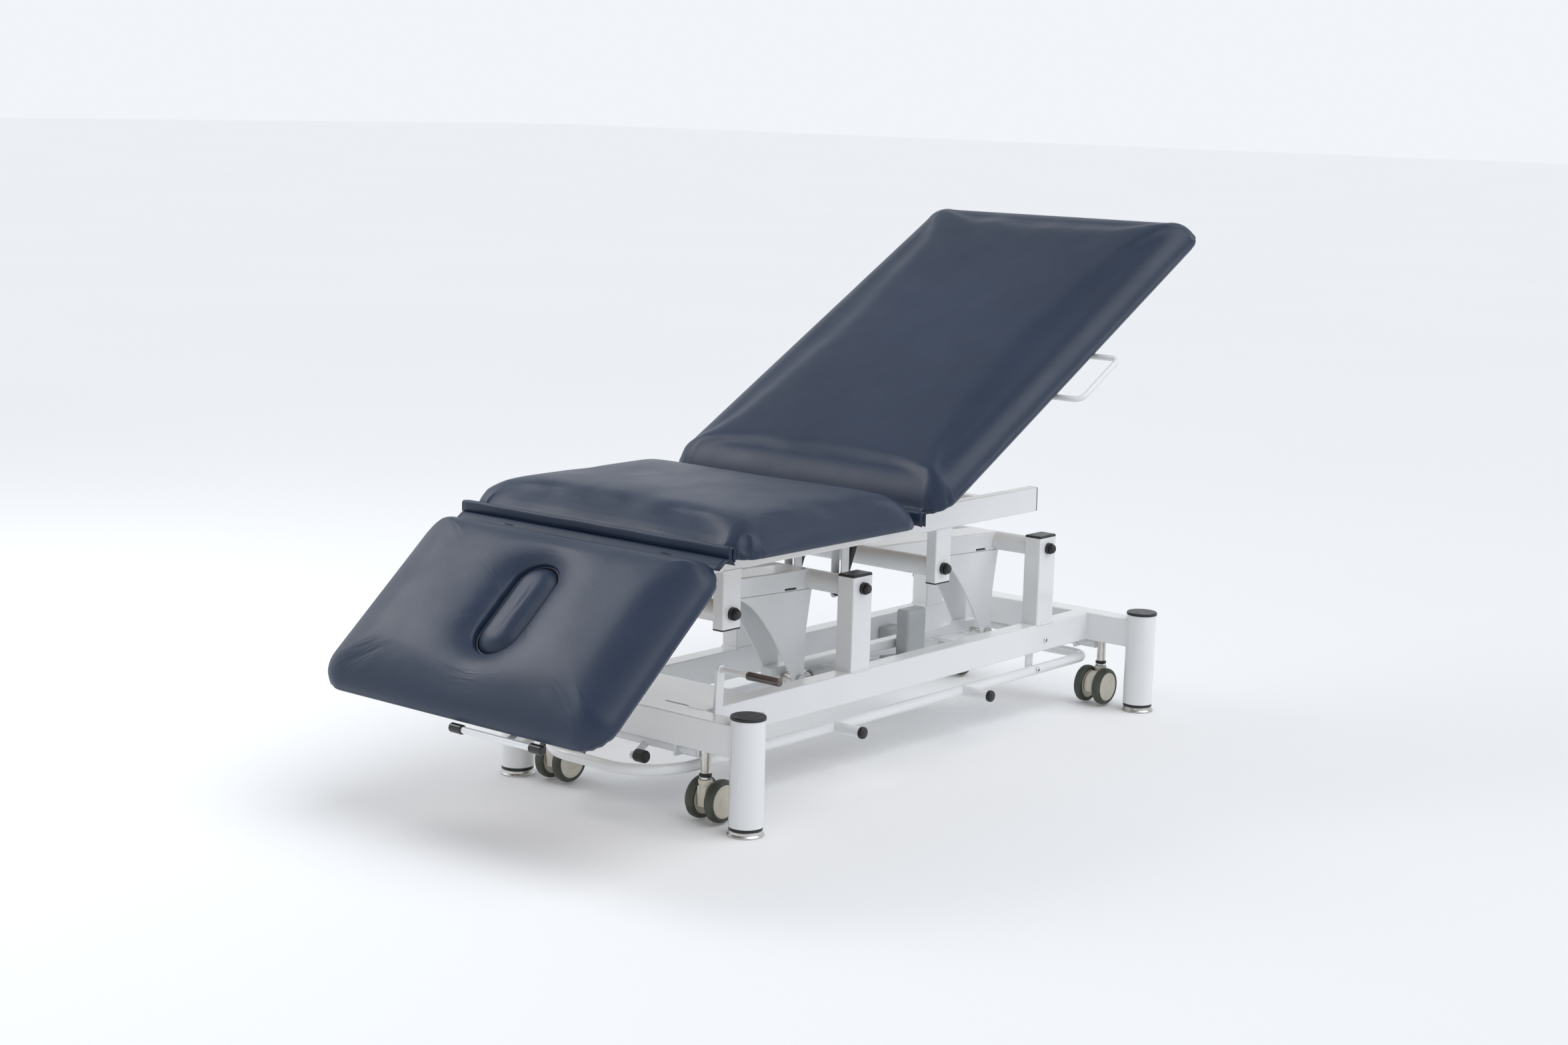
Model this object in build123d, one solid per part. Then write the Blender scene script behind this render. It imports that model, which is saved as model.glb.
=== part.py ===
from build123d import *
import os
from math import cos, sin, radians, degrees, atan2, hypot

# Height-adjustable examination couch, millimetres.
# X runs along the couch: -X is the head end, +X the raised long section.
# Y runs across it: -Y is the operator's side.  Z is up from the floor.
# The origin is on the floor at the middle of the base.

# ---- base frame ----
LEG_X = 656.0
LEG_Y = 290.0
LEG_R = 31.75
LEG_TOP = 213.0
BEAM_W = 50.0
RAIL_LO = 141.0
RAIL_HI = 201.0
RAIL_OUT = 166.0
RAIL_IN = 126.0
WALL = 3.0
TUBE_CORNER = 3.0
UPRIGHT_X = (-175.0, 465.0)
UPRIGHT_W = 60.0
UPRIGHT_TOP = 388.0

# ---- parallelogram lift ----
PIVOT_Z = 365.0
ARM_DX = -435.0
ARM_DZ = 18.5
PITCH = 640.0
LEVER_DX = -30.0
LEVER_DZ = -198.0
ARM_HALF_W = 36.0
ARM_HALF_H = 20.0
TORQUE_R = 20.0
BOLT_R = 8.0
PIN_R = 6.0
FIT = 0.06

# ---- upper frame ----
TOP_RAIL_LO = 463.0
TOP_RAIL_HI = 513.0
TOP_RAIL_OUT = 206.5
TOP_RAIL_IN = 181.5
TOP_RAIL_X0 = -774.0
TOP_RAIL_X1 = 352.0
HANGER_LO = 356.0
CROSS_HI = 481.0
HEAD_HINGE = (-765.0, 505.0)
LONG_HINGE = (-180.0, 495.0)
HINGE_R = 5.0

# ---- upholstered sections ----
PAD_HALF_W = 350.0
PAD_T = 60.0
BOARD_T = 6.0
CORNER_R = 62.0
SEAT_X0 = -751.0
SEAT_X1 = -222.0
HEAD_TILT = 41.0
HEAD_LEN = 426.0
LONG_TILT = 29.0
LONG_LEN = 1065.0
FRAME_OUT = 173.0
FRAME_IN = 148.0
HEAD_TUBE = (-20.0, 8.0)
LONG_TUBE = (-12.0, 23.0)
PLUG_S0 = 97.0
PLUG_S1 = 302.0
PLUG_W = 94.0

# ---- gas struts, pivots equally far from the section hinge ----
LONG_STRUT_R = 174.0
LONG_STRUT_FIXED = -68.0
LONG_STRUT_MOVING = -8.0
LONG_STRUT_Y = 60.0
HEAD_STRUT_R = 95.0
HEAD_STRUT_FIXED = -122.0
HEAD_STRUT_MOVING = -10.0
STRUT_TUBE_R = 9.0
STRUT_ROD_R = 4.0

# ---- actuator, measured along its own axis from the lever pin ----
ACT_REAR = (235.0, 125.0)
ACT_Y = -18.0

# ---- casters and foot bar ----
STEM_Y = 192.0
STEM_R = 9.25
TRAIL = 18.0
WHEEL_R = 40.0
WHEEL_LIFT = 3.0
BAR_R = 10.5
BAR_Y = 158.0
BAR_Z = 101.0

os.makedirs("parts", exist_ok=True)


def save(name, *pieces):
    solids = [solid for piece in pieces for solid in piece.solids()]
    shape = solids[0] if len(solids) == 1 else Compound(solids)
    export_step(shape, f"parts/{name}.step")


def block(x0, x1, y0, y1, z0, z1):
    middle = Pos((x0 + x1) / 2, (y0 + y1) / 2, (z0 + z1) / 2)
    return middle * Box(x1 - x0, y1 - y0, z1 - z0)


def soft_block(x0, x1, y0, y1, z0, z1, radius):
    solid = block(x0, x1, y0, y1, z0, z1)
    return fillet(solid.edges(), radius)


def rod_x(y, z, radius, x0, x1):
    return Pos((x0 + x1) / 2, y, z) * Rot(0, 90, 0) * Cylinder(radius, x1 - x0)


def rod_y(x, z, radius, y0, y1):
    return Pos(x, (y0 + y1) / 2, z) * Rot(90, 0, 0) * Cylinder(radius, y1 - y0)


def rod_z(x, y, radius, z0, z1):
    return Pos(x, y, (z0 + z1) / 2) * Cylinder(radius, z1 - z0)


def rounded_bar(axis, x0, x1, y0, y1, z0, z1):
    """Solid rectangular bar whose long edges have the corner radius of drawn tube."""
    bar = block(x0, x1, y0, y1, z0, z1)
    return fillet(bar.edges().filter_by({"X": Axis.X, "Y": Axis.Y, "Z": Axis.Z}[axis]), TUBE_CORNER)


def box_tube(axis, x0, x1, y0, y1, z0, z1, wall=WALL):
    """Rectangular tube, open at both ends along its axis."""
    gx, gy, gz = (-1.0 if axis == name else wall for name in "XYZ")
    inner = block(x0 + gx, x1 - gx, y0 + gy, y1 - gy, z0 + gz, z1 - gz)
    return rounded_bar(axis, x0, x1, y0, y1, z0, z1) - inner


def plate_xz(points, y0, y1):
    """Flat plate with its outline in the XZ plane."""
    face = make_face(Polyline(*[(x, y0, z) for x, z in points], close=True))
    return extrude(face, amount=y1 - y0, dir=(0, 1, 0))


def both_sides(solid):
    return [solid, mirror(solid, about=Plane.XZ)]


def dome(x, z, y, out, radius=12.0):
    """Two-stage dome cap over a pivot end, standing out along +Y or -Y."""
    base = rod_y(x, z, radius, min(y, y + out * 8), max(y, y + out * 8))
    y1 = y + out * 8
    y2 = y + out * 17
    top = rod_y(x, z, radius - 2, min(y1, y2), max(y1, y2))
    edge = top.edges().filter_by(GeomType.CIRCLE).sort_by(Axis.Y)
    outer = edge[-1] if out > 0 else edge[0]
    return base + fillet(outer, 6.0)


def swept_tube(path, radius, wall):
    profile = Plane(origin=path @ 0, z_dir=path % 0) * (Circle(radius) - Circle(radius - wall))
    return sweep(profile, path=path)


# =====================================================================
# Base
# =====================================================================
corners = [(sx * LEG_X, sy * LEG_Y) for sx in (-1, 1) for sy in (-1, 1)]
posts = []
tube_caps = []
rings = []
glides = []
for x, y in corners:
    post = rod_z(x, y, LEG_R, 17, LEG_TOP) - rod_z(x, y, LEG_R - 2.5, 17, LEG_TOP)
    posts.append(post)
    cap = rod_z(x, y, LEG_R + 1, LEG_TOP, LEG_TOP + 6)
    tube_caps.append(fillet(cap.edges().sort_by(Axis.Z)[-1], 2.0))
    rings.append(rod_z(x, y, 31, 11, 17))
    glides.append(Pos(x, y, 5.5) * Cone(33, 31, 11))
save("leg_posts", *posts)
save("leg_rings", *rings)
save("leg_glides", *glides)

# Cross beams: rectangular tube coped round the leg posts, with a hole under
# each caster stem and a pair of bearing lugs for the caster shaft.
SHAFT_Z = 130.0
SHAFT_R = 10.0
beams = []
for sx in (-1, 1):
    x0 = sx * LEG_X - BEAM_W / 2
    beam = box_tube("Y", x0, x0 + BEAM_W, -276, 276, RAIL_LO, RAIL_HI)
    for sy in (-1, 1):
        beam -= rod_z(sx * LEG_X, sy * LEG_Y, LEG_R + 0.04, 100, 260)
        beam -= rod_z(sx * LEG_X, sy * STEM_Y, STEM_R + FIT, RAIL_LO - 1, RAIL_LO + WALL + 1)
    beams.append(beam)
    for y0 in (-134.0, 128.0):
        lug = block(sx * LEG_X - 16, sx * LEG_X + 16, y0, y0 + 6, 118, RAIL_LO)
        beams.append(lug - rod_y(sx * LEG_X, SHAFT_Z, SHAFT_R + FIT, y0 - 1, y0 + 7))
save("base_beams", *beams)

RAIL_X = LEG_X - BEAM_W / 2
rail = box_tube("X", -RAIL_X, RAIL_X, RAIL_IN, RAIL_OUT, RAIL_LO, RAIL_HI)
save("base_rails", *both_sides(rail))

uprights = []
for ux in UPRIGHT_X:
    x0 = ux - UPRIGHT_W / 2
    x1 = ux + UPRIGHT_W / 2
    post = box_tube("Z", x0, x1, RAIL_IN, RAIL_OUT, RAIL_HI, UPRIGHT_TOP)
    post -= rod_y(ux, PIVOT_Z, BOLT_R, RAIL_IN - 1, RAIL_OUT + 1)
    uprights += both_sides(post)
    cap = rounded_bar("Z", x0, x1, RAIL_IN, RAIL_OUT, UPRIGHT_TOP, UPRIGHT_TOP + 5)
    tube_caps += both_sides(chamfer(cap.faces().sort_by(Axis.Z)[-1].edges(), 2.0))
save("uprights", *uprights)
save("base_tube_caps", *tube_caps)

base_bolts = []
for ux in UPRIGHT_X:
    bolt = rod_y(ux, PIVOT_Z, BOLT_R, 92, RAIL_OUT) + dome(ux, PIVOT_Z, RAIL_OUT, 1)
    base_bolts += both_sides(bolt)
save("base_pivot_bolts", *base_bolts)

# Sheet cover between the rails at the head end, slotted for the caster linkage.
cover = block(-631, -470, -RAIL_IN, RAIL_IN, 197, 200)
cover -= block(-626, -618, -118, -60, 190, 210)
cover -= block(-600, -540, 96, 102, 190, 210)
save("head_cover_plate", cover)

control_box = soft_block(263, 313, 92, RAIL_IN, 138, 178, 4.0)
save("control_box", control_box)

# Rear mounting of the actuator: a cross tube and two plates with wide eyes.
bracket = [box_tube("Y", 318, 348, -RAIL_IN, RAIL_IN, 141, 158, 2.5)]
for y0 in (-46.0, 6.0):
    ear = block(214, 318, y0, y0 + 4, 101, 158)
    bracket.append(ear - rod_y(ACT_REAR[0] + 2.3, ACT_REAR[1] + 0.7, 15, y0 - 1, y0 + 5))
save("actuator_bracket", *bracket)

# =====================================================================
# Lift arms: a torque tube on the uprights, a box arm, a torque tube in the
# hangers, and a pair of lever plates that the link bar and actuator push.
# =====================================================================


def torque_tube(x, z, half):
    solid = rod_y(x, z, TORQUE_R, -half, half) - rod_y(x, z, TORQUE_R - 4, -half + 38, half - 38)
    return solid - rod_y(x, z, BOLT_R + FIT, -half - 1, half + 1)


def lift_arm(ux):
    hx = ux + ARM_DX
    hz = PIVOT_Z + ARM_DZ
    length = hypot(ARM_DX, ARM_DZ)
    angle = degrees(atan2(ARM_DZ, -ARM_DX))
    lower = torque_tube(ux, PIVOT_Z, RAIL_IN - 2)
    upper = torque_tube(hx, hz, TOP_RAIL_IN - 2)
    arm = box_tube("X", -length, 0, -ARM_HALF_W, ARM_HALF_W, -ARM_HALF_H, ARM_HALF_H)
    arm -= block(-80, -44, -ARM_HALF_W - 1, ARM_HALF_W + 1, -17.5, -13)
    arm = Pos(ux, 0, PIVOT_Z) * Rot(0, angle, 0) * arm
    arm -= rod_y(ux, PIVOT_Z, TORQUE_R + 0.04, -40, 40)
    arm -= rod_y(hx, hz, TORQUE_R + 0.04, -40, 40)
    px = ux + LEVER_DX
    pz = PIVOT_Z + LEVER_DZ
    back = [(16, 0), (17, 90), (32, 174), (36, 179), (-225, 193)]
    front = [(-225, 193), (-174, 180), (-135, 155), (-99, 118), (-60, 66), (-31, 23), (-16, 0)]
    back = Polyline(*[(px + x, -ARM_HALF_W, pz + z) for x, z in back])
    front = Spline(*[(px + x, -ARM_HALF_W, pz + z) for x, z in front])
    tip = ThreePointArc((px - 16, -ARM_HALF_W, pz), (px, -ARM_HALF_W, pz - 16), (px + 16, -ARM_HALF_W, pz))
    plate = extrude(make_face([*back.edges(), *front.edges(), *tip.edges()]), amount=4, dir=(0, 1, 0))
    plate -= rod_y(px, pz, PIN_R, -ARM_HALF_W - 1, -ARM_HALF_W + 5)
    plate -= rod_y(ux, PIVOT_Z, TORQUE_R + 0.04, -ARM_HALF_W - 1, -ARM_HALF_W + 5)
    below = Pos(ux, 0, PIVOT_Z) * Rot(0, angle, 0) * block(-length, 60, -50, 50, -ARM_HALF_H, 60)
    plate -= below
    pieces = [lower, upper, arm] + both_sides(plate)
    pin = rod_y(px, pz, PIN_R, -ARM_HALF_W - 6, ARM_HALF_W + 6)
    heads = [rod_y(px, pz, 10, ARM_HALF_W, ARM_HALF_W + 8), rod_y(px, pz, 10, -ARM_HALF_W - 8, -ARM_HALF_W)]
    return pieces, pin + heads[0] + heads[1]


for name, ux in (("head", UPRIGHT_X[0]), ("foot", UPRIGHT_X[1])):
    pieces, pin = lift_arm(ux)
    save(f"lift_arm_{name}", *pieces)
    save(f"lever_pin_{name}", pin)

# Link bar between the two levers, with bush tubes welded under it.
P_HEAD = (UPRIGHT_X[0] + LEVER_DX, PIVOT_Z + LEVER_DZ)
P_FOOT = (UPRIGHT_X[1] + LEVER_DX, PIVOT_Z + LEVER_DZ)
LINK_Y0 = 3.0
LINK_Y1 = 30.0
link = box_tube("X", P_HEAD[0] - 34, P_FOOT[0] + 20, LINK_Y0, LINK_Y1, 167, 187, 2.5)
link_ends = [
    block(P_HEAD[0] - 38, P_HEAD[0] - 34, LINK_Y0, LINK_Y1, 167, 187),
    block(P_FOOT[0] + 20, P_FOOT[0] + 24, LINK_Y0, LINK_Y1, 167, 187),
]
for px, pz in (P_HEAD, P_FOOT):
    link -= rod_y(px, pz, 10.5, LINK_Y0 - 1, LINK_Y1 + 1)
    bush = rod_y(px, pz, 10.5, LINK_Y0, LINK_Y1) - rod_y(px, pz, PIN_R + FIT, LINK_Y0 - 1, LINK_Y1 + 1)
    link += bush
save("link_bar", link, *link_ends)

# =====================================================================
# Actuator, built along +X from the lever pin and then tilted into place
# =====================================================================
ACT_ANGLE = degrees(atan2(P_HEAD[1] - ACT_REAR[1], ACT_REAR[0] - P_HEAD[0]))
ACT_LEN = hypot(P_HEAD[1] - ACT_REAR[1], ACT_REAR[0] - P_HEAD[0])
ACT = Pos(P_HEAD[0], 0, P_HEAD[1]) * Rot(0, ACT_ANGLE, 0)
ROD_R = 9.0

eye = rod_y(0, 0, 14, -30, -6) + rod_x(ACT_Y, 0, ROD_R, 10, 262)
eye -= rod_y(0, 0, PIN_R + FIT, -31, 0)
save("actuator_rod", ACT * eye)

head = Pos(69, ACT_Y, 0) * Rot(0, 90, 0) * Cone(12.5, 20, 28)
tube = head + rod_x(ACT_Y, 0, 20, 83, 306)
tube -= rod_x(ACT_Y, 0, ROD_R + FIT, 50, 290)
save("actuator_tube", ACT * tube)

gearbox = soft_block(306, 398, ACT_Y - 20, ACT_Y + 19.5, -24, 24, 5.0)
clevis = block(396, ACT_LEN, ACT_Y - 12, ACT_Y + 12, -12, 12) + rod_y(ACT_LEN, 0, 12, ACT_Y - 12, ACT_Y + 12)
rear_pin = rod_y(ACT_LEN, 0, 5, -50, 14)
motor = soft_block(-32, 33, ACT_Y - 17, ACT_Y + 15, -60, 48, 6.0)
motor = Pos(183, 0, 205) * motor
save("actuator_motor", ACT * (gearbox + clevis + rear_pin) + motor)

# =====================================================================
# Upper frame
# =====================================================================
top_rail = box_tube("X", TOP_RAIL_X0, TOP_RAIL_X1, TOP_RAIL_IN, TOP_RAIL_OUT, TOP_RAIL_LO, TOP_RAIL_HI, 2.5)
for hx, hz in (HEAD_HINGE, LONG_HINGE):
    top_rail -= rod_y(hx, hz, HINGE_R, TOP_RAIL_IN - 1, TOP_RAIL_OUT + 1)
save("upper_rails", *both_sides(top_rail))

hangers = []
end_caps = []
hanger_bolts = []
HANGER_X = (UPRIGHT_X[0] + ARM_DX, UPRIGHT_X[1] + ARM_DX)
HANGER_Z = PIVOT_Z + ARM_DZ
for hx in HANGER_X:
    hanger = box_tube("Z", hx - 25, hx + 25, TOP_RAIL_IN, TOP_RAIL_OUT, HANGER_LO, TOP_RAIL_LO, 2.5)
    hanger -= rod_y(hx, HANGER_Z, BOLT_R, TOP_RAIL_IN - 1, TOP_RAIL_OUT + 1)
    hangers += both_sides(hanger)
    cap = rounded_bar("Z", hx - 25, hx + 25, TOP_RAIL_IN, TOP_RAIL_OUT, HANGER_LO - 3, HANGER_LO)
    end_caps += both_sides(cap)
    bolt = rod_y(hx, HANGER_Z, BOLT_R, 147, TOP_RAIL_OUT) + dome(hx, HANGER_Z, TOP_RAIL_OUT, 1)
    hanger_bolts += both_sides(bolt)
for x0 in (TOP_RAIL_X0 - 3, TOP_RAIL_X1):
    cap = rounded_bar("X", x0, x0 + 3, TOP_RAIL_IN, TOP_RAIL_OUT, TOP_RAIL_LO, TOP_RAIL_HI)
    end_caps += both_sides(cap)
save("hangers", *hangers)
save("upper_end_caps", *end_caps)

for hx, hz in (HEAD_HINGE, LONG_HINGE):
    hinge_pin = rod_y(hx, hz, HINGE_R, FRAME_IN - 4, TOP_RAIL_OUT)
    hinge_head = rod_y(hx, hz, 8, TOP_RAIL_OUT, TOP_RAIL_OUT + 6)
    hanger_bolts += both_sides(hinge_pin + hinge_head)
save("upper_pivot_bolts", *hanger_bolts)


def polar(centre, radius, angle, direction):
    """Point at an angle above +X (direction 1) or above -X (direction -1)."""
    a = radians(angle)
    return centre[0] + direction * radius * cos(a), centre[1] + radius * sin(a)


LONG_P = polar(LONG_HINGE, LONG_STRUT_R, LONG_STRUT_FIXED, 1)
LONG_Q = polar(LONG_HINGE, LONG_STRUT_R, LONG_STRUT_MOVING + LONG_TILT, 1)
HEAD_P = polar(HEAD_HINGE, HEAD_STRUT_R, HEAD_STRUT_FIXED, -1)
HEAD_Q = polar(HEAD_HINGE, HEAD_STRUT_R, HEAD_STRUT_MOVING - HEAD_TILT, -1)

# Cross members, and the clevis plates of the gas struts.
crosses = []
for x0 in (-727.0, -430.0, -134.0, 322.0):
    cross = block(x0, x0 + 22, -TOP_RAIL_IN, TOP_RAIL_IN, TOP_RAIL_LO, CROSS_HI)
    cross -= block(x0 + 2.5, x0 + 19.5, -182, 182, TOP_RAIL_LO + 2.5, CROSS_HI - 2.5)
    crosses.append(cross)


def clevis(point, y, top):
    px, pz = point
    ears = []
    for y0 in (y - 13.5, y + 10.5):
        ear = block(px - 11, px + 11, y0, y0 + 3, pz - 2, top) + rod_y(px, pz - 2, 11, y0, y0 + 3)
        ears.append(ear)
    pin = rod_y(px, pz, STRUT_ROD_R, y - 13.5, y + 13.5)
    return ears[0] + ears[1] + pin


crosses.append(clevis(LONG_P, LONG_STRUT_Y, TOP_RAIL_LO))
crosses.append(clevis(LONG_P, -LONG_STRUT_Y, TOP_RAIL_LO))
crosses.append(clevis(HEAD_P, 0, TOP_RAIL_LO))
save("upper_cross_members", *crosses)

# =====================================================================
# Seat
# =====================================================================


def pad(x0, x1, z0, slant_low, slant_high):
    """Cushion lying along X; its ends facing a hinge lean back with height."""
    solid = block(x0, x1, -PAD_HALF_W, PAD_HALF_W, z0, z0 + PAD_T)
    solid = fillet(solid.edges().filter_by(Axis.Z), CORNER_R)
    solid = fillet(solid.faces().sort_by(Axis.Z)[-1].edges(), 18.0)
    for x, lean, side in ((x0, slant_low, 1), (x1, slant_high, -1)):
        if lean:
            wedge = [(x - side, z0), (x, z0), (x + side * lean, z0 + PAD_T + 1), (x - side, z0 + PAD_T + 1)]
            solid -= plate_xz(wedge, -PAD_HALF_W - 1, PAD_HALF_W + 1)
    return solid




def board_block(x0, x1, z0):
    return block(x0, x1, -PAD_HALF_W + 22, PAD_HALF_W - 22, z0, z0 + BOARD_T)


# Each board is let into the underside of its pad, where the cover is stapled to it.
seat_board = board_block(SEAT_X0 + 22, SEAT_X1 - 22, TOP_RAIL_HI)
save("seat_board", seat_board)
save("seat_pad", pad(SEAT_X0, SEAT_X1, TOP_RAIL_HI, 14, 14) - seat_board)
strip_head = soft_block(-761, -752.5, -334, 334, 520, 536, 3.5)
strip_long = soft_block(-218, -207, -334, 334, 520, 536, 4.5)
save("gap_strips", strip_head, strip_long)

# =====================================================================
# Sections.  Each is built flat about its hinge axis, which is local zero,
# and then tilted: the head section runs along -X, the long one along +X.
# =====================================================================
HEAD = Pos(HEAD_HINGE[0], 0, HEAD_HINGE[1]) * Rot(0, -HEAD_TILT, 0)
LONG = Pos(LONG_HINGE[0], 0, LONG_HINGE[1]) * Rot(0, -LONG_TILT, 0)
HEAD_PAD_Z = HEAD_TUBE[1]
LONG_PAD_Z = LONG_TUBE[1]


def side_tubes(x0, x1, levels):
    tube = box_tube("X", x0, x1, FRAME_IN, FRAME_OUT, levels[0], levels[1], 2.5)
    tube -= rod_y(0, 0, HINGE_R + FIT, FRAME_IN - 1, FRAME_OUT + 1)
    return both_sides(tube)


def cross_tube(x0, low, high):
    return box_tube("Y", x0, x0 + 25, -FRAME_IN, FRAME_IN, low, high, 2.5)


def section_clevis(radius, angle, y, direction, top):
    """Ears under a section that carry a gas strut's upper pin."""
    qx = direction * radius * cos(radians(angle))
    qz = radius * sin(radians(angle))
    ears = [block(qx - 11, qx + 11, y0, y0 + 3, qz - 11, top) for y0 in (y - 13.5, y + 10.5)]
    return ears[0] + ears[1] + rod_y(qx, qz, STRUT_ROD_R, y - 13.5, y + 13.5)


def stadium(s0, s1, width, z0, z1):
    """Upright solid with a stadium outline, its length along the head section."""
    r = width / 2
    low = Pos(-s1 + r, 0, 0) * Cylinder(r, z1 - z0)
    high = Pos(-s0 - r, 0, 0) * Cylinder(r, z1 - z0)
    mid = Pos(-(s0 + s1) / 2, 0, 0) * Box(s1 - s0 - width, width, z1 - z0)
    return Pos(0, 0, (z0 + z1) / 2) * (low + high + mid)


RELEASE_PIVOT = (-392.0, -12.0)
head_parts = side_tubes(-HEAD_LEN + 45, 12, HEAD_TUBE)
head_parts.append(cross_tube(-70, -10, HEAD_TUBE[1]))
head_parts.append(cross_tube(-350, *HEAD_TUBE))
head_parts.append(section_clevis(HEAD_STRUT_R, HEAD_STRUT_MOVING, 0, -1, HEAD_TUBE[1]))
lugs = [block(-400, -384, y0, y0 + 3, -20, HEAD_TUBE[1]) for y0 in (-157.0, -126.0)]
head_parts.append(lugs[0] + lugs[1] + rod_y(*RELEASE_PIVOT, 4, -157, -123))
save("head_frame", *[HEAD * piece for piece in head_parts])

head_board = board_block(-HEAD_LEN + 22, -36, HEAD_PAD_Z)
hole = stadium(PLUG_S0 + 10, PLUG_S1 - 10, PLUG_W - 20, HEAD_PAD_Z - 1, HEAD_PAD_Z + BOARD_T + 1)
save("head_board", HEAD * (head_board - hole))
opening = stadium(PLUG_S0 - 1, PLUG_S1 + 1, PLUG_W + 2, HEAD_PAD_Z - 1, HEAD_PAD_Z + PAD_T + 1)
save("head_pad", HEAD * (pad(-HEAD_LEN, -14, HEAD_PAD_Z, 0, 10) - head_board - opening))
plug = stadium(PLUG_S0, PLUG_S1, PLUG_W, HEAD_PAD_Z + BOARD_T + 1, HEAD_PAD_Z + PAD_T)
save("face_plug", HEAD * fillet(plug.faces().sort_by(Axis.Z)[-1].edges(), 8.0))

# Release bar under the outer end of the head section.
RELEASE_BAR = (-436.5, 8.5)
bar = rod_y(*RELEASE_BAR, 6, -219, -7)
stem = plate_xz([(-400, -20), (-384, -20), (-384, -4), (-400, -4), (-431, 9), (-441, 2)], -148, -132)
stem -= rod_y(*RELEASE_PIVOT, 4 + FIT, -149, -131)
save("head_release", HEAD * (bar + stem))
grips = []
for y0, y1 in ((-224.0, -194.0), (-32.0, -2.0)):
    grip = fillet(rod_y(*RELEASE_BAR, 8.5, y0, y1).edges(), 3.0)
    grips.append(grip - rod_y(*RELEASE_BAR, 6, max(y0, -219), min(y1, -7)))
save("head_release_grips", *[HEAD * grip for grip in grips])

# Long section: the loop handle hangs from two lugs on a strip that passes
# over the upper rail when the section lies flat.
LOOP_S = (455.0, 605.0)
LOOP_Y = -225.0
LOOP_Z = 11.0
long_parts = side_tubes(-12, LONG_LEN - 40, LONG_TUBE)
long_parts += [cross_tube(x, LONG_TUBE[1] - 25, LONG_TUBE[1]) for x in (60.0, 520.0, LONG_LEN - 75)]
for y in (LONG_STRUT_Y, -LONG_STRUT_Y):
    long_parts.append(section_clevis(LONG_STRUT_R, LONG_STRUT_MOVING, y, 1, LONG_TUBE[1]))
strip = block(LOOP_S[0] - 30, LOOP_S[1] + 30, LOOP_Y - 11, -FRAME_OUT, LONG_TUBE[1] - 3, LONG_TUBE[1])
for s0 in (LOOP_S[0] - 22, LOOP_S[1] + 16):
    strip += block(s0, s0 + 6, LOOP_Y - 9, LOOP_Y + 9, LOOP_Z - 9, LONG_TUBE[1])
strip += rod_x(LOOP_Y, LOOP_Z, 4, LOOP_S[0] - 22, LOOP_S[1] + 22)
long_parts.append(strip)
save("long_frame", *[LONG * piece for piece in long_parts])

long_board = board_block(38, LONG_LEN - 22, LONG_PAD_Z)
save("long_board", LONG * long_board)
save("long_pad", LONG * (pad(16, LONG_LEN, LONG_PAD_Z, 30, 0) - long_board))

loop_path = FilletPolyline(
    (LOOP_S[0], LOOP_Y - 4, LOOP_Z), (LOOP_S[0], -395, LOOP_Z),
    (LOOP_S[1], -395, LOOP_Z), (LOOP_S[1], LOOP_Y - 4, LOOP_Z), radius=18)
loop = sweep(Plane(origin=loop_path @ 0, z_dir=loop_path % 0) * Circle(6), path=loop_path)
for s0 in (LOOP_S[0], LOOP_S[1]):
    loop += rod_x(LOOP_Y, LOOP_Z, 8, s0 - 10, s0 + 10)
loop -= rod_x(LOOP_Y, LOOP_Z, 4 + FIT, LOOP_S[0] - 20, LOOP_S[1] + 20)
save("long_release", LONG * loop)

# =====================================================================
# Gas struts: a cylinder on the lower pin, a piston rod on the upper pin
# =====================================================================


def strut(low, high, y, tube_len, rod_len):
    """Strut from the low pin to the high pin, built along +X from the low pin."""
    gap = hypot(high[0] - low[0], high[1] - low[1])
    angle = degrees(atan2(high[1] - low[1], high[0] - low[0]))
    place = Pos(low[0], y, low[1]) * Rot(0, -angle, 0)
    tube = rod_y(0, 0, 9, -8, 8) + rod_x(0, 0, STRUT_TUBE_R, 6, tube_len)
    tube -= rod_y(0, 0, STRUT_ROD_R + FIT, -20, 20)
    tube -= rod_x(0, 0, STRUT_ROD_R + 0.08, 11, tube_len + 1)
    rod = rod_y(gap, 0, 9, -8, 8) + rod_x(0, 0, STRUT_ROD_R, gap - rod_len, gap - 4)
    rod -= rod_y(gap, 0, STRUT_ROD_R + FIT, -20, 20)
    return place * tube, place * rod


for tag, y in (("near", -LONG_STRUT_Y), ("far", LONG_STRUT_Y)):
    tube, rod = strut(LONG_P, LONG_Q, y, 152, 156)
    save(f"long_strut_tube_{tag}", tube)
    save(f"long_strut_rod_{tag}", rod)
tube, rod = strut(HEAD_P, HEAD_Q, 0, 94, 97)
save("head_strut_tube", tube)
save("head_strut_rod", rod)

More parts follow.
